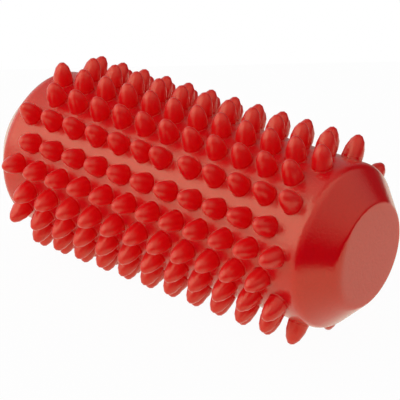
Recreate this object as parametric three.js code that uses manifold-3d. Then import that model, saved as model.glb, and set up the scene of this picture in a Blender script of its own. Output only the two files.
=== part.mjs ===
// Massage roller: a hollow vinyl shell moulded in one piece with staggered rows of pointed knobs,
// and the rubber valve core that closes it in the middle of its far end.
// Millimetres. X runs along the roller and Z is up. The roller lies on two rows of knob tips,
// with the middle of its footprint at the origin and its valve at the end towards minus X.

import * as THREE from 'three';
import { mergeVertices } from 'three/addons/utils/BufferGeometryUtils.js';
import Module from 'manifold-3d';

const wasm = await Module();
wasm.setup();

// Shell outline
const barrelRadius = 28;
const barrelLength = 126.2;
const shoulderFillet = 4.4;
const coneLength = 9.85;
const rimRadius = 17.8;
const rimFillet = 1.2;
const wall = 2.4;

// Knobs
const rowCount = 20;
const longRowKnobs = 12;
const shortRowKnobs = 11;
const knobPitch = 10.1;
const knobHeight = 8.15;
const knobRadius = 3.55;
const knobRoot = 1.2;

// Valve seat in the far end, and the core that it holds
const bossRadius = 7;
const bossLength = 6.6;
const flangeRadius = 4.4;
const flangeThickness = 1.3;
const stemRadius = 2.7;
const barbRadius = 3.5;
const barbLength = 2.2;
const barbTipRadius = 2.1;
const needleRadius = 0.55;
const needleDepth = 7.5;
const needleMouthRadius = 1.3;
const needleMouthDepth = 1;
const fitClearance = 0.3;

// Facets
const flatsPerRow = 1;
const mergeTolerance = 0.001;
const knobSides = 8;
const knobRingShares = [0.5, 0.82];
const filletSteps = 3;
const coreSides = 24;

// Sizes that follow from those above
const rowAngle = (2 * Math.PI) / rowCount;
const flatAngle = rowAngle / flatsPerRow;
const halfBarrel = barrelLength / 2;
const halfLength = halfBarrel + coneLength;
const coneAngle = Math.atan2(barrelRadius - rimRadius, coneLength);
const innerEnd = halfLength - wall;
const bossEnd = innerEnd - bossLength;
const axisHeight = (barrelRadius + knobHeight) * Math.cos(rowAngle / 2);

const vinylRed = new THREE.MeshStandardMaterial({ color: 0xc8261c, roughness: 0.32, metalness: 0 });
const valveRubber = new THREE.MeshStandardMaterial({ color: 0xd9cdb4, roughness: 0.6, metalness: 0 });

// A point of an outline, by its distance from the roller's axis and its place along it
function at(radius, along) {
  return new THREE.Vector2(radius, along);
}

// The arc that rounds the corner between two straight runs
function roundedCorner(before, corner, after, radius) {
  const back = before.clone().sub(corner).normalize();
  const onward = after.clone().sub(corner).normalize();
  const halfOpening = Math.acos(back.dot(onward)) / 2;
  const middle = back.clone().add(onward).normalize();
  const centre = corner.clone().addScaledVector(middle, radius / Math.sin(halfOpening));
  const start = corner.clone().addScaledVector(back, radius / Math.tan(halfOpening));
  const end = corner.clone().addScaledVector(onward, radius / Math.tan(halfOpening));
  const startArm = start.clone().sub(centre);
  const endArm = end.clone().sub(centre);
  const turn = Math.atan2(startArm.cross(endArm), startArm.dot(endArm));
  const arc = [];
  for (let step = 0; step <= filletSteps; step += 1) {
    arc.push(start.clone().rotateAround(centre, (turn * step) / filletSteps));
  }
  return arc;
}

// Outside of one end, from the barrel down the cone to the edge of its flat face
function endOutside() {
  const middle = at(barrelRadius, 0);
  const shoulder = at(barrelRadius, halfBarrel);
  const rim = at(rimRadius, halfLength);
  const face = at(0, halfLength);
  return [
    ...roundedCorner(middle, shoulder, rim, shoulderFillet),
    ...roundedCorner(shoulder, rim, face, rimFillet),
  ];
}

// Inside of one end, a wall's thickness in from the barrel, the cone and the face
function endInside() {
  const shoulder = at(barrelRadius - wall, halfBarrel - wall * Math.tan(coneAngle / 2));
  const drop = (innerEnd - shoulder.y) * Math.tan(coneAngle);
  return [shoulder, at(shoulder.x - drop, innerEnd)];
}

function mirrored(outline) {
  return outline.map((p) => at(p.x, -p.y));
}

// An outline revolved about X
function revolved(outline, sides, startAngle = 0) {
  const geometry = new THREE.LatheGeometry(outline, sides, startAngle);
  geometry.rotateZ(-Math.PI / 2);
  return geometry;
}

function solidOf(geometry) {
  const bare = geometry.clone();
  bare.deleteAttribute('normal');
  bare.deleteAttribute('uv');
  const merged = mergeVertices(bare);
  const corners = merged.index.array;
  const triangles = [];
  for (let i = 0; i < corners.length; i += 3) {
    const [a, b, c] = corners.slice(i, i + 3);
    if (a !== b && b !== c && c !== a) triangles.push(a, b, c);
  }
  const mesh = new wasm.Mesh({
    numProp: 3,
    vertProperties: new Float32Array(merged.attributes.position.array),
    triVerts: new Uint32Array(triangles),
  });
  return new wasm.Manifold(mesh);
}

function geometryOf(solid) {
  const mesh = solid.getMesh();
  const geometry = new THREE.BufferGeometry();
  geometry.setAttribute('position', new THREE.BufferAttribute(mesh.vertProperties, mesh.numProp));
  geometry.setIndex(new THREE.BufferAttribute(mesh.triVerts, 1));
  geometry.computeVertexNormals();
  return geometry;
}

// The hollow wall in one outline: out from the middle of the near face, along the barrel, in
// through the valve seat and its boss, and back along the inside to the near face again
function wallSolid() {
  const outside = endOutside();
  const inside = endInside();
  const seatRadius = flangeRadius + fitClearance;
  const seatFloor = halfLength - flangeThickness - fitClearance;
  const boreRadius = stemRadius + fitClearance;
  const outline = [
    at(0, halfLength),
    ...outside.toReversed(),
    ...mirrored(outside),
    at(seatRadius, -halfLength),
    at(seatRadius, -seatFloor),
    at(boreRadius, -seatFloor),
    at(boreRadius, -bossEnd),
    at(bossRadius, -bossEnd),
    at(bossRadius, -innerEnd),
    ...mirrored(inside).reverse(),
    ...inside,
    at(0, innerEnd),
  ];
  const geometry = revolved(outline.reverse(), rowCount * flatsPerRow, (rowAngle - flatAngle) / 2);
  const flatsOnTheRound = 1 / Math.cos(flatAngle / 2);
  geometry.scale(1, flatsOnTheRound, flatsOnTheRound);
  return solidOf(geometry);
}

// One knob, half an ellipsoid with its root sunk in the wall, standing on the barrel
function knobSolid(angle, along) {
  const outline = [at(0, -knobRoot), at(knobRadius, -knobRoot)];
  for (const share of knobRingShares) {
    outline.push(at(knobRadius * Math.sqrt(1 - share * share), knobHeight * share));
  }
  outline.push(at(0, knobHeight));
  const geometry = new THREE.LatheGeometry(outline, knobSides);
  geometry.translate(0, barrelRadius, 0);
  geometry.rotateX(angle);
  geometry.translate(along, 0, 0);
  return solidOf(geometry);
}

// Rows of knobs round the barrel, long and short in turn, so each knob faces a gap
function knobSolids() {
  const knobs = [];
  for (let row = 0; row < rowCount; row += 1) {
    const count = row % 2 === 0 ? shortRowKnobs : longRowKnobs;
    for (let place = 0; place < count; place += 1) {
      const along = (place - (count - 1) / 2) * knobPitch;
      knobs.push(knobSolid((row + 1 / 2) * rowAngle, along));
    }
  }
  return knobs;
}

// The joined shell, with the slivers that the cuts leave in its flat faces merged
function rollerShell() {
  const joined = wasm.Manifold.union([wallSolid(), ...knobSolids()]);
  const solid = joined.asOriginal().simplify(mergeTolerance);
  const shell = new THREE.Mesh(geometryOf(solid), vinylRed);
  shell.name = 'roller_shell';
  return shell;
}

// The core's flange lies flush in the seat, and its barb grips behind the boss
function valveCore() {
  const barbPlace = bossEnd - fitClearance;
  const outline = [
    at(0, -halfLength + needleDepth),
    at(needleRadius, -halfLength + needleDepth),
    at(needleRadius, -halfLength + needleMouthDepth),
    at(needleMouthRadius, -halfLength),
    at(flangeRadius, -halfLength),
    at(flangeRadius, -halfLength + flangeThickness),
    at(stemRadius, -halfLength + flangeThickness),
    at(stemRadius, -barbPlace),
    at(barbRadius, -barbPlace),
    at(barbTipRadius, -barbPlace + barbLength),
    at(0, -barbPlace + barbLength),
  ];
  const core = new THREE.Mesh(geometryOf(solidOf(revolved(outline, coreSides))), valveRubber);
  core.name = 'valve_core';
  return core;
}

const roller = new THREE.Group();
roller.position.z = axisHeight;
roller.add(rollerShell(), valveCore());

export default roller;
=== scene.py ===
import math
import random

import bpy
from mathutils import Matrix, Vector


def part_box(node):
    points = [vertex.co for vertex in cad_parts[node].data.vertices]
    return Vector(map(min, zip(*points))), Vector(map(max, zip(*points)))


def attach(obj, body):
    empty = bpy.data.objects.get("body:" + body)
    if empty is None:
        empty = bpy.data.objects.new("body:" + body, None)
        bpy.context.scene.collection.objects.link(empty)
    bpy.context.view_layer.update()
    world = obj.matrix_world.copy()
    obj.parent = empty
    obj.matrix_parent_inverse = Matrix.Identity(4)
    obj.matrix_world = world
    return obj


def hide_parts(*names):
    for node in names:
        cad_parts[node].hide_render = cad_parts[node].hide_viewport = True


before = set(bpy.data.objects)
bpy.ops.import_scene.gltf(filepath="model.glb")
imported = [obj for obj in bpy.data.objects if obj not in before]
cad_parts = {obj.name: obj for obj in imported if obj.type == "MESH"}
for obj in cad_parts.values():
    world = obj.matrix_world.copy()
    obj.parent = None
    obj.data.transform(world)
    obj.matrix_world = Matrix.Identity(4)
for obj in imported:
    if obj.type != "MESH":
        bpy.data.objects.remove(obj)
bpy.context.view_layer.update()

mm = 0.001
hair = 0.01 * mm  # places nearer to each other than this are the same
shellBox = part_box("roller_shell")
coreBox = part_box("valve_core")
axisHeight = (shellBox[0].z + shellBox[1].z) / 2
halfLength = shellBox[1].x


def deselectAll():
    for thing in bpy.context.selected_objects:
        thing.select_set(False)


def makeActive(thing):
    deselectAll()
    thing.select_set(True)
    bpy.context.view_layer.objects.active = thing


def newPiece(name):  # the primitive that was just added, under its own name
    piece = bpy.context.object
    piece.name = name
    piece.data.name = name
    return piece


def copyOf(piece, name):
    twin = piece.copy()
    twin.data = piece.data.copy()
    twin.name = name
    twin.data.name = name
    bpy.context.scene.collection.objects.link(twin)
    return twin


def joined(pieces, name):
    deselectAll()
    for piece in pieces:
        piece.select_set(True)
    bpy.context.view_layer.objects.active = pieces[0]
    bpy.ops.object.join()
    pieces[0].name = name
    pieces[0].data.name = name
    return pieces[0]


def applyAll(piece):
    makeActive(piece)
    for modifier in list(piece.modifiers):
        bpy.ops.object.modifier_apply(modifier=modifier.name)


def selectVerts(piece, wanted):  # call it in object mode
    for polygon in piece.data.polygons:
        polygon.select = False
    for edge in piece.data.edges:
        edge.select = False
    for vertex in piece.data.vertices:
        vertex.select = wanted(vertex.co)


def editMode(piece, selectMode):
    makeActive(piece)
    bpy.ops.object.mode_set(mode="EDIT")
    bpy.ops.mesh.select_mode(type=selectMode)


def objectMode():
    bpy.ops.object.mode_set(mode="OBJECT")


def extrudeBy(x, y, z):
    bpy.ops.mesh.extrude_edges_move(TRANSFORM_OT_translate={"value": (x, y, z)})


def weld(piece):
    editMode(piece, "VERT")
    bpy.ops.mesh.select_all(action="SELECT")
    bpy.ops.mesh.remove_doubles(threshold=2 * hair)
    objectMode()


# the vinyl shell with its knobs

shell = {
    "barrelRadius": 28 * mm,
    "halfBarrel": 63.1 * mm,
    "shoulderFillet": 4.4 * mm,
    "rimRadius": 17.8 * mm,
    "rimFillet": 1.8 * mm,
    "softRim": 5.8 * mm,  # the near rim's fillet on the side where it is rounder
    "softRimSide": (195, 35, 65),  # degrees round the roller: its middle, how far it is full and lasts
    "wall": 2.4 * mm,
    "shoulderSteps": 6,
    "rimSteps": 5,
    "coneSteps": 3,
    "faceRings": (14.2 * mm, 11.5 * mm, 8 * mm),
    "lastRing": 4 * mm,  # round the middle of the near face
    "smoothAngle": 60,
}

knobs = {
    "rows": 20,
    "longCount": 12,
    "shortCount": 11,
    "pitch": 10.1 * mm,
    "height": 8.15 * mm,
    "radius": 3.6 * mm,  # on the corners, for about 3.55 all round
    "footWidth": 0.2 * mm,  # the small moulded fillet round each knob
    "footRise": 0.16 * mm,
    "ringAngles": (24, 48, 71),  # up the half ellipsoid, from its base to its tip
    "sides": 16,
    "seed": 4,
    "lean": 0.12 * mm,  # of the tips along the roller, as the mould let go of them
    "leanSide": (0.3 * mm, 60),  # more of it on the side at this angle, and less on the other
    "leanAlong": 0.0045,  # less of it towards the near end
    "unevenLean": 0.12 * mm,  # how far a tip may stand off that
    "strayKnob": (7, 6),  # row and place of the one that the mould set off its place
    "strayMove": -2 * mm,
    "strayRow": 8,
    "strayTurn": 0.8,  # degrees round the roller
}

rowAngle = math.tau / knobs["rows"]
fieldEnd = knobs["longCount"] / 2 * knobs["pitch"]


def knobRings():  # (radius, height) of each ring of the knob, from its foot up
    rings = [(knobs["radius"], knobs["footRise"])]
    for degrees in knobs["ringAngles"]:
        angle = math.radians(degrees)
        rings.append((knobs["radius"] * math.cos(angle), knobs["height"] * math.sin(angle)))
    return rings


def makeKnobCell():  # one knob on the patch of barrel that belongs to it
    top = shell["barrelRadius"]
    foot = knobs["radius"] + knobs["footWidth"]
    bpy.ops.mesh.primitive_circle_add(
        vertices=knobs["sides"], radius=foot, fill_type="NOTHING", location=(0, 0, top)
    )
    cell = newPiece("knobCell")
    makeActive(cell)
    bpy.ops.object.transform_apply(location=True, rotation=True, scale=True)
    editMode(cell, "VERT")
    bpy.ops.mesh.select_all(action="SELECT")
    lastRadius, lastHeight = foot, 0
    for radius, height in knobRings():
        extrudeBy(0, 0, height - lastHeight)
        share = radius / lastRadius
        bpy.ops.transform.resize(value=(share, share, 1), center_override=(0, 0, top + height))
        lastRadius, lastHeight = radius, height
    extrudeBy(0, 0, knobs["height"] - lastHeight)
    bpy.ops.mesh.merge(type="CENTER")
    objectMode()
    # the patch runs out from the foot to the edges that it shares with its neighbours
    selectVerts(cell, lambda co: abs(co.z - top) < hair)
    editMode(cell, "VERT")
    extrudeBy(0, 0, 0)
    objectMode()
    # where the foot's corners run to, as shares of half the patch along and across the roller
    alongShares = (1, 1, 1, 0.5, 0, -0.5, -1, -1, -1, -1, -1, -0.5, 0, 0.5, 1, 1)
    acrossShares = (0, 0.5, 1, 1, 1, 1, 1, 0.5, 0, -0.5, -1, -1, -1, -1, -1, -0.5)
    for vertex in cell.data.vertices:
        co = vertex.co
        rise = co.z - top
        if vertex.select:
            turn = math.atan2(co.y, co.x) / math.tau
            step = round(turn * knobs["sides"]) % knobs["sides"]
            angle = acrossShares[step] * rowAngle / 2
            along = alongShares[step] * knobs["pitch"] / 2
            vertex.co = (along, top * math.sin(angle), top * math.cos(angle))
        elif rise < knobs["footRise"] + hair:  # the foot follows the barrel's curve
            co.z = math.sqrt(top**2 - co.y**2) + rise
    return cell


def makeFiller():  # plain barrel of half a pitch, for each end of a short row
    bpy.ops.mesh.primitive_grid_add(x_subdivisions=2, y_subdivisions=4, size=1, location=(0, 0, 0))
    filler = newPiece("filler")
    start = knobs["shortCount"] / 2 * knobs["pitch"]
    for vertex in filler.data.vertices:
        angle = vertex.co.y * rowAngle
        vertex.co = (
            start + (vertex.co.x + 0.5) * knobs["pitch"] / 2,
            shell["barrelRadius"] * math.sin(angle),
            shell["barrelRadius"] * math.cos(angle),
        )
    return filler


def arrayAlong(piece, count):
    piece.data.transform(Matrix.Translation((-(count - 1) / 2 * knobs["pitch"], 0, 0)))
    rowOf = piece.modifiers.new("rowOf", "ARRAY")
    rowOf.count = count
    rowOf.use_relative_offset = False
    rowOf.use_constant_offset = True
    rowOf.constant_offset_displace = (knobs["pitch"], 0, 0)
    applyAll(piece)


def arrayRound(piece, firstRow):  # every other row, from that one on
    turn = (firstRow + 0.5) * rowAngle - math.pi / 2
    piece.data.transform(Matrix.Rotation(turn, 4, "X"))
    guide = bpy.data.objects.new("rowGuide", None)
    guide.rotation_euler.x = 2 * rowAngle
    bpy.context.scene.collection.objects.link(guide)
    bpy.context.view_layer.update()
    roundOf = piece.modifiers.new("roundOf", "ARRAY")
    roundOf.count = knobs["rows"] // 2
    roundOf.use_relative_offset = False
    roundOf.use_object_offset = True
    roundOf.offset_object = guide
    applyAll(piece)
    bpy.data.objects.remove(guide)


def arcPoints(before, corner, after, radius, steps):  # rounds the corner of a profile
    back = (before - corner).normalized()
    onward = (after - corner).normalized()
    half = back.angle(onward) / 2
    centre = corner + (back + onward).normalized() * (radius / math.sin(half))
    start = corner + back * (radius / math.tan(half)) - centre
    turn = start.angle_signed(corner + onward * (radius / math.tan(half)) - centre)
    points = []
    for step in range(steps + 1):
        arm = start.copy()
        arm.rotate(Matrix.Rotation(-turn * step / steps, 2))
        points.append(centre + arm)
    return points


# corners of the outside's profile before they are rounded, as (along, radius)
barrelMiddle = Vector((0, shell["barrelRadius"]))
shoulderCorner = Vector((shell["halfBarrel"], shell["barrelRadius"]))
rimCorner = Vector((halfLength, shell["rimRadius"]))
faceMiddle = Vector((halfLength, 0))


def shoulderPoints():
    fillet, steps = shell["shoulderFillet"], shell["shoulderSteps"]
    return arcPoints(barrelMiddle, shoulderCorner, rimCorner, fillet, steps)


def rimPoints(fillet):
    return arcPoints(shoulderCorner, rimCorner, faceMiddle, fillet, shell["rimSteps"])


def endProfile():  # from the last knob cell down the cone to the face
    points = shoulderPoints()
    rimArc = rimPoints(shell["rimFillet"])
    coneTop = points[-1]
    for step in range(1, shell["coneSteps"]):
        points.append(coneTop.lerp(rimArc[0], step / shell["coneSteps"]))
    return points + rimArc + [Vector((halfLength, radius)) for radius in shell["faceRings"]]


def closeEnd(skin, side, centreRings):
    selectVerts(skin, lambda co: co.x * side > fieldEnd - hair)
    editMode(skin, "VERT")
    lastAlong, lastRadius = fieldEnd, shell["barrelRadius"]
    for along, radius in [(point.x, point.y) for point in endProfile()] + centreRings:
        extrudeBy((along - lastAlong) * side, 0, 0)
        share = radius / lastRadius
        bpy.ops.transform.resize(value=(1, share, share), center_override=(along * side, 0, 0))
        lastAlong, lastRadius = along, radius
    extrudeBy(0, 0, 0)
    bpy.ops.mesh.merge(type="CENTER")
    objectMode()


seat = {
    "flangeGap": 0.3 * mm,
    "edge": 0.2 * mm,
    "depth": 1.6 * mm,
    "boreRadius": 3.0 * mm,
    "bossRadius": 7.0 * mm,
    "bossEnd": 9.0 * mm,
}


def insideRings():  # from the boss round the inside of the shell, with the far end as the plus side
    inner = shell["barrelRadius"] - shell["wall"]
    slope = math.atan2(shell["barrelRadius"] - shell["rimRadius"], halfLength - shell["halfBarrel"])
    shoulder = shell["halfBarrel"] - shell["wall"] * math.tan(slope / 2)
    end = halfLength - shell["wall"]
    rim = inner - (end - shoulder) * math.tan(slope)
    return [
        (halfLength - seat["bossEnd"], seat["bossRadius"]),
        (end, seat["bossRadius"]),
        (end, rim),
        (shoulder, inner),
        (-shoulder, inner),
        (-end, rim),
        (-end, rim / 2),
    ]


def makeSkin():
    cell = makeKnobCell()
    shortRow = copyOf(cell, "shortRow")
    arrayAlong(cell, knobs["longCount"])
    arrayAlong(shortRow, knobs["shortCount"])
    filler = makeFiller()
    otherFiller = copyOf(filler, "otherFiller")
    otherFiller.data.transform(Matrix.Rotation(math.pi, 4, "Z"))
    shortRow = joined([shortRow, filler, otherFiller], "shortRow")
    arrayRound(cell, 1)
    arrayRound(shortRow, 0)
    skin = joined([cell, shortRow], "roller_skin")
    weld(skin)
    print("knob field:", len(skin.data.polygons), "faces")
    flange = coreBox[1].y + seat["flangeGap"]
    farRings = [
        (halfLength, flange + seat["edge"]),
        (halfLength - seat["edge"], flange),
        (halfLength - seat["depth"], flange),
        (halfLength - seat["depth"], seat["boreRadius"]),
        (halfLength - seat["bossEnd"], seat["boreRadius"]),
    ] + insideRings()
    closeEnd(skin, 1, [(halfLength, shell["lastRing"])])
    closeEnd(skin, -1, farRings)
    weld(skin)
    return skin


def rimStep(co, plainArc):  # which ring of the near rim's fillet a vertex is on, if it is on one
    radius = math.hypot(co.y, co.z)
    for step, point in enumerate(plainArc):
        if abs(co.x - point.x) < hair and abs(radius - point.y) < 0.5 * mm:
            return step
    return None


def softenRim(skin):  # the near rim is rounder on one side
    middle, full, end = shell["softRimSide"]
    plainArc = rimPoints(shell["rimFillet"])
    for vertex in skin.data.vertices:
        co = vertex.co
        step = rimStep(co, plainArc)
        if step is None:
            continue
        away = abs(math.degrees(math.atan2(co.z, co.y)) % 360 - middle)
        share = min(max((end - away) / (end - full), 0), 1)
        share *= share * (3 - 2 * share)  # eased at both ends
        fillet = shell["rimFillet"] + share * (shell["softRim"] - shell["rimFillet"])
        place = rimPoints(fillet)[step]
        across = place.y / plainArc[step].y
        vertex.co = (place.x, co.y * across, co.z * across)


def knobSpot(co):  # row and place of a vertex's knob, and the vertex as seen with that knob upright
    angle = math.atan2(co.z, co.y) % math.tau
    row = int(angle / rowAngle) % knobs["rows"]
    count = knobs["shortCount"] if row % 2 == 0 else knobs["longCount"]
    place = round(co.x / knobs["pitch"] + (count - 1) / 2)
    upright = Matrix.Rotation(math.pi / 2 - (row + 0.5) * rowAngle, 3, "X")
    middle = Vector(((place - (count - 1) / 2) * knobs["pitch"], 0, shell["barrelRadius"]))
    return row, place, upright @ co - middle, upright


def drawLeans():  # how far each knob's tip stands off along the roller, by row and place
    dice = random.Random(knobs["seed"])
    leans = {}
    sideLean, sideAngle = knobs["leanSide"]
    for row in range(knobs["rows"]):
        turn = (row + 0.5) * rowAngle - math.radians(sideAngle)
        rowLean = knobs["lean"] + sideLean * math.cos(turn)
        for place in range(-1, knobs["longCount"] + 1):
            along = (place - knobs["shortCount"] / 2) * knobs["pitch"]
            uneven = dice.uniform(-1, 1) * knobs["unevenLean"]
            leans[row, place] = rowLean - knobs["leanAlong"] * along + uneven
    return leans


def settleKnobs(skin):  # soft moulded knobs never stand quite alike
    leans = drawLeans()
    reach = knobs["radius"] + knobs["footWidth"] + hair
    flatter = (knobs["radius"] / knobs["height"]) ** 2
    rowTurn = Matrix.Rotation(math.radians(knobs["strayTurn"]), 3, "X")
    roundNormals = {}
    for vertex in skin.data.vertices:
        outward = math.hypot(vertex.co.y, vertex.co.z)
        if abs(vertex.co.x) > fieldEnd + hair or outward < shell["barrelRadius"] - hair:
            continue
        row, place, spot, upright = knobSpot(vertex.co)
        if math.hypot(spot.x, spot.y) > reach:
            continue
        if spot.z > knobs["footRise"] / 2:
            away = Vector((spot.x, spot.y, spot.z * flatter))
            roundNormals[vertex.index] = (upright.inverted() @ away).normalized()
        vertex.co.x += leans[row, place] * max(spot.z, 0) / knobs["height"]
        if (row, place) == knobs["strayKnob"]:
            vertex.co.x += knobs["strayMove"]
        if row == knobs["strayRow"]:
            vertex.co = rowTurn @ vertex.co
    return roundNormals


def roundOff(skin, roundNormals):  # the knobs are shaded as the half ellipsoids that they are
    normals = [Vector(corner.vector) for corner in skin.data.corner_normals]
    for loop in skin.data.loops:
        if loop.vertex_index in roundNormals:
            normals[loop.index] = roundNormals[loop.vertex_index]
    skin.data.normals_split_custom_set(normals)


skin = makeSkin()
softenRim(skin)
roundNormals = settleKnobs(skin)
skin.data.transform(Matrix.Translation((0, 0, axisHeight)))
editMode(skin, "FACE")
bpy.ops.mesh.select_all(action="SELECT")
bpy.ops.mesh.normals_make_consistent(inside=False)
objectMode()
makeActive(skin)
bpy.ops.object.shade_smooth_by_angle(angle=math.radians(shell["smoothAngle"]))
evenNormals = skin.modifiers.new("evenNormals", "WEIGHTED_NORMAL")
evenNormals.keep_sharp = True
applyAll(skin)
roundOff(skin, roundNormals)
print("skin:", len(skin.data.polygons), "faces")

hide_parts("roller_shell")
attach(skin, "root")


# the rubber valve core

plug = {
    "sides": 32,
    "smoothAngle": 50,
    # (depth from the end face, radius) in mm, from the needle hole out and back to the barb's tip
    "outline": (
        (7.5, 0.55), (1.3, 0.55), (0.7, 0.75), (0.3, 1.2), (0.08, 1.8), (0, 2.5), (0, 3.9),
        (0.08, 4.18), (0.26, 4.35), (0.48, 4.4), (1.14, 4.4), (1.3, 4.22), (1.3, 2.95), (1.5, 2.7),
        (9.3, 2.7), (9.3, 3.35), (9.45, 3.5), (9.9, 3.35), (11.3, 2.25), (11.5, 1.95), (11.5, 1.0),
    ),
}


def makePlug():
    face = coreBox[0].x
    (depth, radius), rest = plug["outline"][0], plug["outline"][1:]
    bpy.ops.mesh.primitive_circle_add(
        vertices=plug["sides"],
        radius=radius * mm,
        fill_type="TRIFAN",
        location=(face + depth * mm, 0, axisHeight),
        rotation=(0, math.pi / 2, 0),
    )
    piece = newPiece("valve_plug")
    makeActive(piece)
    bpy.ops.object.transform_apply(location=True, rotation=True, scale=True)
    selectVerts(piece, lambda co: math.hypot(co.y, co.z - axisHeight) > hair)
    editMode(piece, "VERT")
    for nextDepth, nextRadius in rest:
        extrudeBy((nextDepth - depth) * mm, 0, 0)
        share = nextRadius / radius
        centre = (face + nextDepth * mm, 0, axisHeight)
        bpy.ops.transform.resize(value=(1, share, share), center_override=centre)
        depth, radius = nextDepth, nextRadius
    extrudeBy(0, 0, 0)
    bpy.ops.mesh.merge(type="CENTER")
    bpy.ops.mesh.select_all(action="SELECT")
    bpy.ops.mesh.normals_make_consistent(inside=False)
    objectMode()
    makeActive(piece)
    bpy.ops.object.shade_smooth_by_angle(angle=math.radians(plug["smoothAngle"]))
    return piece


valvePlug = makePlug()
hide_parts("valve_core")
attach(valvePlug, "root")
print("valve plug:", len(valvePlug.data.polygons), "faces")


# materials

def newMaterial(name):
    material = bpy.data.materials.new(name)
    material.use_nodes = True
    return material, material.node_tree.nodes, material.node_tree.links


def addMath(nodes, links, operation, first, second):
    node = nodes.new("ShaderNodeMath")
    node.operation = operation
    for socket, value in zip(node.inputs, (first, second)):
        if isinstance(value, (int, float)):
            socket.default_value = value
        else:
            links.new(value, socket)
    return node.outputs[0]


def addNoise(nodes, links, place, size, detail):
    noise = nodes.new("ShaderNodeTexNoise")
    noise.inputs["Scale"].default_value = size
    noise.inputs["Detail"].default_value = detail
    links.new(place.outputs["Object"], noise.inputs["Vector"])
    return noise.outputs["Fac"]


def addRange(nodes, links, value, ends):  # from 0 at one end to 1 at the other
    ramp = nodes.new("ShaderNodeMapRange")
    ramp.inputs["From Min"].default_value = ends[0]
    ramp.inputs["From Max"].default_value = ends[1]
    links.new(value, ramp.inputs["Value"])
    return ramp.outputs["Result"]


vinyl = {
    "deep": (0.74, 0.0002, 0.006, 1),
    "fresh": (0.96, 0.0008, 0.0075, 1),
    "driftSize": 40,  # slow change of colour in the moulding
    "driftDetail": 3,
    "edge": (0.9, 0.3, 0.2, 1),  # painted highlight: pale colour mixed in where the surface turns away from the view, a painted reflection round the outlines
    "paintedRimStart": 0.65,
    "paintedRimShare": 0.6,
    "endRoughness": (0.12, 0.16),
    "endStart": (60 * mm, 63 * mm),  # from the barrel to its shoulders
    "barrelRoughness": 0.21,
    "knobRoughness": 0.31,
    "knobStart": (0.2 * mm, 1.2 * mm),  # from the barrel up the sides of the knobs
    "refraction": 1.5,
    "gloss": 0.8,
    "glossTint": (1, 0.96, 0.6, 1),
    "grainSize": 1200,  # fine grain of the mould
    "grainDetail": 2,
    "grainHeight": 0.085 * mm,
    "speckle": 0.6,  # share of the grain in the colour
    "glow": 0.8,  # light that wanders inside the soft vinyl
    "glowRadius": (1.0, 0.1, 0.1),
    "glowScale": 5 * mm,
}


def vinylColour(nodes, links, drift, grain):
    speckle = nodes.new("ShaderNodeMix")
    speckle.inputs["Factor"].default_value = vinyl["speckle"]
    links.new(drift, speckle.inputs["A"])
    links.new(grain, speckle.inputs["B"])
    tint = nodes.new("ShaderNodeMix")
    tint.data_type = "RGBA"
    tint.inputs["A"].default_value = vinyl["deep"]
    tint.inputs["B"].default_value = vinyl["fresh"]
    links.new(speckle.outputs["Result"], tint.inputs["Factor"])
    # painted highlight: the base colour turns pale towards the outlines, by how far the surface faces
    # away from the view
    facing = nodes.new("ShaderNodeLayerWeight")
    paintedRimMask = nodes.new("ShaderNodeMapRange")
    paintedRimMask.inputs["From Min"].default_value = vinyl["paintedRimStart"]
    paintedRimMask.inputs["To Max"].default_value = vinyl["paintedRimShare"]
    links.new(facing.outputs["Facing"], paintedRimMask.inputs["Value"])
    paintedRim = nodes.new("ShaderNodeMix")
    paintedRim.data_type = "RGBA"
    paintedRim.inputs["B"].default_value = vinyl["edge"]
    links.new(paintedRimMask.outputs["Result"], paintedRim.inputs["Factor"])
    links.new(tint.outputs["Result"], paintedRim.inputs["A"])
    return paintedRim.outputs["Result"]


def vinylRoughness(nodes, links, place, drift):
    sheen = nodes.new("ShaderNodeMapRange")
    sheen.inputs["To Min"].default_value = vinyl["endRoughness"][0]
    sheen.inputs["To Max"].default_value = vinyl["endRoughness"][1]
    links.new(drift, sheen.inputs["Value"])
    parts = nodes.new("ShaderNodeSeparateXYZ")
    links.new(place.outputs["Object"], parts.inputs["Vector"])
    along = addMath(nodes, links, "ABSOLUTE", parts.outputs["X"], 0)
    atEnd = addRange(nodes, links, along, vinyl["endStart"])
    smooth = nodes.new("ShaderNodeMix")  # roughness of the barrel, the shoulders and the ends
    smooth.inputs["A"].default_value = vinyl["barrelRoughness"]
    links.new(atEnd, smooth.inputs["Factor"])
    links.new(sheen.outputs["Result"], smooth.inputs["B"])
    across = nodes.new("ShaderNodeMapping")  # the place seen along the roller's axis
    across.inputs["Location"].default_value = (0, 0, -axisHeight)
    across.inputs["Scale"].default_value = (0, 1, 1)
    links.new(place.outputs["Object"], across.inputs["Vector"])
    reach = nodes.new("ShaderNodeVectorMath")
    reach.operation = "LENGTH"
    links.new(across.outputs["Vector"], reach.inputs[0])
    knobHeights = [shell["barrelRadius"] + height for height in vinyl["knobStart"]]
    raised = addRange(nodes, links, reach.outputs["Value"], knobHeights)
    dulling = nodes.new("ShaderNodeMix")
    dulling.inputs["B"].default_value = vinyl["knobRoughness"]
    links.new(raised, dulling.inputs["Factor"])
    links.new(smooth.outputs["Result"], dulling.inputs["A"])
    return dulling.outputs["Result"]


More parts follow.
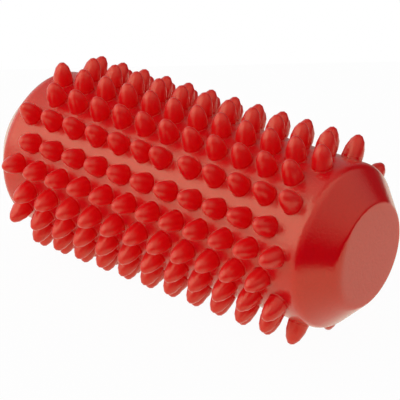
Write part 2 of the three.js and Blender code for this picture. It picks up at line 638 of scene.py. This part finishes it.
def makeVinyl():
    material, nodes, links = newMaterial("red_vinyl")
    surface = nodes["Principled BSDF"]
    place = nodes.new("ShaderNodeTexCoord")
    drift = addNoise(nodes, links, place, vinyl["driftSize"], vinyl["driftDetail"])
    grain = addNoise(nodes, links, place, vinyl["grainSize"], vinyl["grainDetail"])
    links.new(vinylColour(nodes, links, drift, grain), surface.inputs["Base Color"])
    links.new(vinylRoughness(nodes, links, place, drift), surface.inputs["Roughness"])
    bump = nodes.new("ShaderNodeBump")
    bump.inputs["Distance"].default_value = vinyl["grainHeight"]
    links.new(grain, bump.inputs["Height"])
    links.new(bump.outputs["Normal"], surface.inputs["Normal"])
    surface.inputs["Subsurface Weight"].default_value = vinyl["glow"]
    surface.inputs["Subsurface Radius"].default_value = vinyl["glowRadius"]
    surface.inputs["Subsurface Scale"].default_value = vinyl["glowScale"]
    surface.inputs["IOR"].default_value = vinyl["refraction"]
    surface.inputs["Specular IOR Level"].default_value = vinyl["gloss"]
    surface.inputs["Specular Tint"].default_value = vinyl["glossTint"]
    return material


rubber = {
    "deep": (0.66, 0.58, 0.44, 1),
    "pale": (0.74, 0.67, 0.53, 1),
    "speckSize": 900,
    "speckDetail": 2,
    "speckHeight": 0.05 * mm,
    "speckStrength": 0.15,
    "roughness": 0.55,
}


def makeRubber():
    material, nodes, links = newMaterial("valve_rubber")
    surface = nodes["Principled BSDF"]
    place = nodes.new("ShaderNodeTexCoord")
    speck = addNoise(nodes, links, place, rubber["speckSize"], rubber["speckDetail"])
    tint = nodes.new("ShaderNodeMix")
    tint.data_type = "RGBA"
    tint.inputs["A"].default_value = rubber["deep"]
    tint.inputs["B"].default_value = rubber["pale"]
    links.new(speck, tint.inputs["Factor"])
    links.new(tint.outputs["Result"], surface.inputs["Base Color"])
    bump = nodes.new("ShaderNodeBump")
    bump.inputs["Strength"].default_value = rubber["speckStrength"]
    bump.inputs["Distance"].default_value = rubber["speckHeight"]
    links.new(speck, bump.inputs["Height"])
    links.new(bump.outputs["Normal"], surface.inputs["Normal"])
    surface.inputs["Roughness"].default_value = rubber["roughness"]
    return material


skin.data.materials.append(makeVinyl())
valvePlug.data.materials.append(makeRubber())
print("materials:", skin.data.materials[0].name, valvePlug.data.materials[0].name)


# floor, light and camera

paperLook = {
    "size": (2000 * mm, 400 * mm),
    "place": (-14 * mm, 14 * mm, 0),
    "turn": 45,
    "colour": (0.88, 0.88, 0.88, 1),
    "roughness": 0.9,
    "white": 0.97,  # the rest of its look is its own, with the roller's shadow
    "glow": 0.2,  # light that it gives back beside what falls on it here
    "glossTint": (1, 0.95, 0.82, 1),  # as the roller's gloss shows it
}


def makePaper():  # a strip of white paper under the roller
    bpy.ops.mesh.primitive_plane_add(size=1, location=paperLook["place"])
    paper = newPiece("paper")
    makeActive(paper)
    paper.scale = (*paperLook["size"], 1)
    paper.rotation_euler.z = math.radians(paperLook["turn"])
    bpy.ops.object.transform_apply(location=True, rotation=True, scale=True)
    material, nodes, links = newMaterial("paper_white")
    surface = nodes["Principled BSDF"]
    surface.inputs["Base Color"].default_value = paperLook["colour"]
    surface.inputs["Roughness"].default_value = paperLook["roughness"]
    surface.inputs["Specular IOR Level"].default_value = 0
    path = nodes.new("ShaderNodeLightPath")
    byCamera, byGloss = path.outputs["Is Camera Ray"], path.outputs["Is Glossy Ray"]
    seen = addMath(nodes, links, "MAXIMUM", byCamera, byGloss)
    seen = addMath(nodes, links, "MAXIMUM", seen, path.outputs["Is Transmission Ray"])
    amount = addMath(nodes, links, "MULTIPLY", seen, paperLook["white"])
    amount = addMath(nodes, links, "MAXIMUM", amount, paperLook["glow"])
    colour = nodes.new("ShaderNodeMix")
    colour.data_type = "RGBA"
    colour.inputs["A"].default_value = (1, 1, 1, 1)
    colour.inputs["B"].default_value = paperLook["glossTint"]
    links.new(byGloss, colour.inputs["Factor"])
    white = nodes.new("ShaderNodeEmission")
    links.new(colour.outputs["Result"], white.inputs["Color"])
    mix = nodes.new("ShaderNodeMixShader")
    links.new(amount, mix.inputs["Fac"])
    links.new(surface.outputs["BSDF"], mix.inputs[1])
    links.new(white.outputs["Emission"], mix.inputs[2])
    links.new(mix.outputs["Shader"], nodes["Material Output"].inputs["Surface"])
    paper.data.materials.append(material)


room = {
    "fill": 0.45,  # even light from all round, too soft to show in the gloss
    "wall": 0.035,  # the dark wall behind the roller
    "wallFace": (0.956, -0.292, 0),  # the way that it faces
    "wallEdge": 0.02,
    "ceiling": 0.62,  # it ends at that wall
    "ceilingHeights": (0.12, 0.6),  # on the unit sphere
    "top": 0.4,  # more light from straight above
    "topHeights": (0.7, 0.97),
    "glow": 1.3,  # pale wall to the left, beside the softbox
    "glowTowards": (-0.83, -0.518, 0.208),
    "glowSpread": 0.35,
    "backGlow": 0.42,  # paler end of the back wall
    "backTowards": (-0.847, 0.489, 0.208),
    "backSpread": 0.6,
}


def spread(nodes, links, towards, start, end):  # from 0 to 1 as a direction nears another
    place = nodes.new("ShaderNodeTexCoord")
    side = nodes.new("ShaderNodeVectorMath")
    side.operation = "DOT_PRODUCT"
    side.inputs[1].default_value = towards
    links.new(place.outputs["Generated"], side.inputs[0])
    return addRange(nodes, links, side.outputs["Value"], (start, end))


def makeRoom():  # pale ceiling and left wall in a dark room, and white where the camera sees it
    world = bpy.data.worlds.new("studio")
    world.use_nodes = True
    bpy.context.scene.world = world
    nodes, links = world.node_tree.nodes, world.node_tree.links
    background = nodes["Background"]
    background.inputs["Color"].default_value = (1, 1, 1, 1)
    rise = spread(nodes, links, (0, 0, 1), *room["ceilingHeights"])
    front = spread(nodes, links, room["wallFace"], -room["wallEdge"], room["wallEdge"])
    ceiling = addMath(nodes, links, "MULTIPLY", rise, front)
    ceiling = addMath(nodes, links, "MULTIPLY", ceiling, room["ceiling"])
    back = addMath(nodes, links, "SUBTRACT", 1, front)
    back = addMath(nodes, links, "MULTIPLY", back, room["wall"])
    glow = spread(nodes, links, room["glowTowards"], room["glowSpread"], 1)
    glow = addMath(nodes, links, "MULTIPLY", glow, room["glow"])
    backGlow = spread(nodes, links, room["backTowards"], room["backSpread"], 1)
    backGlow = addMath(nodes, links, "MULTIPLY", backGlow, room["backGlow"])
    top = spread(nodes, links, (0, 0, 1), *room["topHeights"])
    top = addMath(nodes, links, "MULTIPLY", top, room["top"])
    total = ceiling
    for part in (glow, backGlow, back, top):
        total = addMath(nodes, links, "ADD", total, part)
    path = nodes.new("ShaderNodeLightPath")
    shown = nodes.new("ShaderNodeMix")  # the gloss shows the room, and the rest gets an even light
    links.new(path.outputs["Is Glossy Ray"], shown.inputs["Factor"])
    shown.inputs["A"].default_value = room["fill"]
    links.new(total, shown.inputs["B"])
    byCamera, through = path.outputs["Is Camera Ray"], path.outputs["Is Transmission Ray"]
    mix = nodes.new("ShaderNodeMix")
    links.new(addMath(nodes, links, "MAXIMUM", byCamera, through), mix.inputs["Factor"])
    links.new(shown.outputs["Result"], mix.inputs["A"])
    mix.inputs["B"].default_value = 1
    links.new(mix.outputs["Result"], background.inputs["Strength"])


softbox = {
    "azimuth": -118,
    "elevation": 36,
    "distance": 700 * mm,  # from the middle of the roller
    "size": (720 * mm, 760 * mm),
    "radiance": 0.95,
}


def makeSoftbox():
    azimuth, elevation = math.radians(softbox["azimuth"]), math.radians(softbox["elevation"])
    level = math.cos(elevation)
    towards = Vector((math.cos(azimuth) * level, math.sin(azimuth) * level, math.sin(elevation)))
    width, height = softbox["size"]
    data = bpy.data.lights.new("keyLight", "AREA")
    data.shape = "RECTANGLE"
    data.size, data.size_y = width, height
    data.energy = softbox["radiance"] * math.pi * width * height
    lamp = bpy.data.objects.new("keyLight", data)
    lamp.location = Vector((0, 0, axisHeight)) + towards * softbox["distance"]
    lamp.rotation_mode = "QUATERNION"
    lamp.rotation_quaternion = towards.to_track_quat("Z", "Y")
    lamp.visible_camera = False
    bpy.context.scene.collection.objects.link(lamp)


view = {
    "place": (326.53 * mm, -416.67 * mm, 243.72 * mm),  # from the middle of the roller
    "turn": (65.0464, -1.2316, 38.358),
    "lens": 152.36,
    "filmWidth": 36,
    "nearest": 10 * mm,
}


def makeCamera():
    data = bpy.data.cameras.new("camera")
    data.lens = view["lens"]
    data.sensor_width = view["filmWidth"]
    data.clip_start = view["nearest"]
    camera = bpy.data.objects.new("camera", data)
    camera.location = Vector(view["place"]) + Vector((0, 0, axisHeight))
    camera.rotation_euler = [math.radians(degrees) for degrees in view["turn"]]
    bpy.context.scene.collection.objects.link(camera)
    bpy.context.scene.camera = camera


makePaper()
makeRoom()
makeSoftbox()
makeCamera()
bpy.context.scene.view_settings.view_transform = "Standard"
